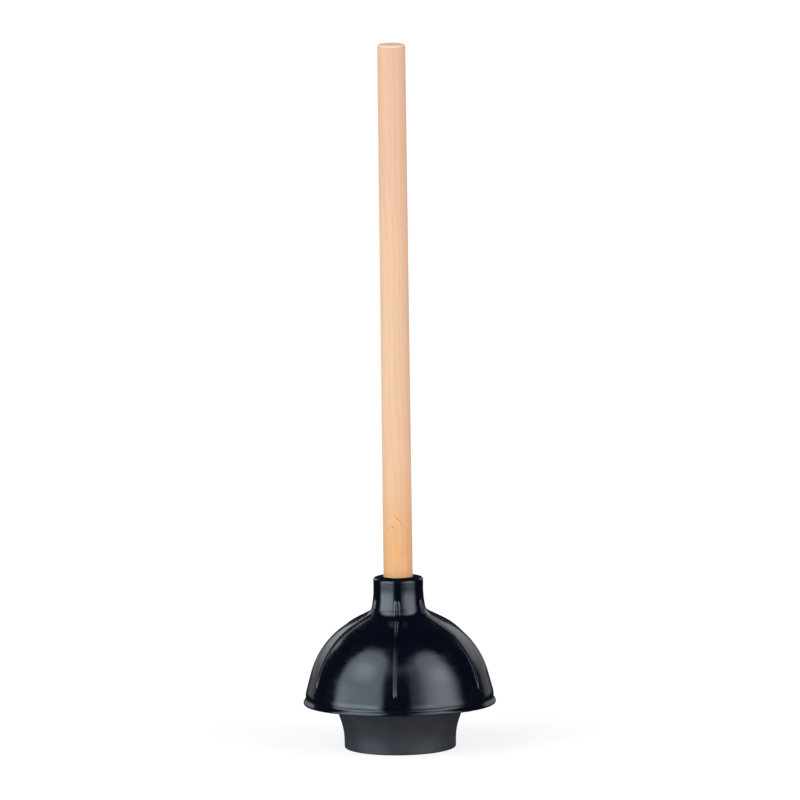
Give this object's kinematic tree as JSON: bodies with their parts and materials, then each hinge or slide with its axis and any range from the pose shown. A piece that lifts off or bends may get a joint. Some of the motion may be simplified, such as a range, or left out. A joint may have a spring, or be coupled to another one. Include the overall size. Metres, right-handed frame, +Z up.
{
  "type": "toilet plunger",
  "caption": "Toilet plunger: a pale wooden dowel handle screwed into a black rubber bell cup with ribs, a thin lip and a fold-out flange sleeve.",
  "frame": {"origin": "centre of the flange sleeve's flat bottom face, on the cup's axis", "axes": "+Z up along the handle, front of the cup towards -Y"},
  "size_m": [0.1524, 0.1524, 0.5622],
  "materials": {
    "handle_wood": "smooth sanded, unvarnished pale softwood",
    "bell_rubber": "polished mould finish, glossy blue-black",
    "flange_rubber": "matte charcoal"
  },
  "bodies": {
    "handle": {"wooden_handle": "handle_wood", "neck_socket": "bell_rubber"},
    "bell": {"rim_lip": "bell_rubber", "bell_dome": "bell_rubber", "flange_web": "flange_rubber"},
    "sleeve": {"flange_sleeve": "flange_rubber"}
  },
  "joints": [
    {"name": "bell_compression", "type": "slide", "parent": "handle", "child": "bell", "axis": [0, 0, 1], "range_m": [0, 0.02], "stiffness_N_per_m": 3000, "deforming": ["bell_dome"]},
    {"name": "flange_tuck", "type": "slide", "parent": "bell", "child": "sleeve", "axis": [0, 0, 1], "range_m": [0, 0.0365], "deforming": ["flange_web"]}
  ]
}
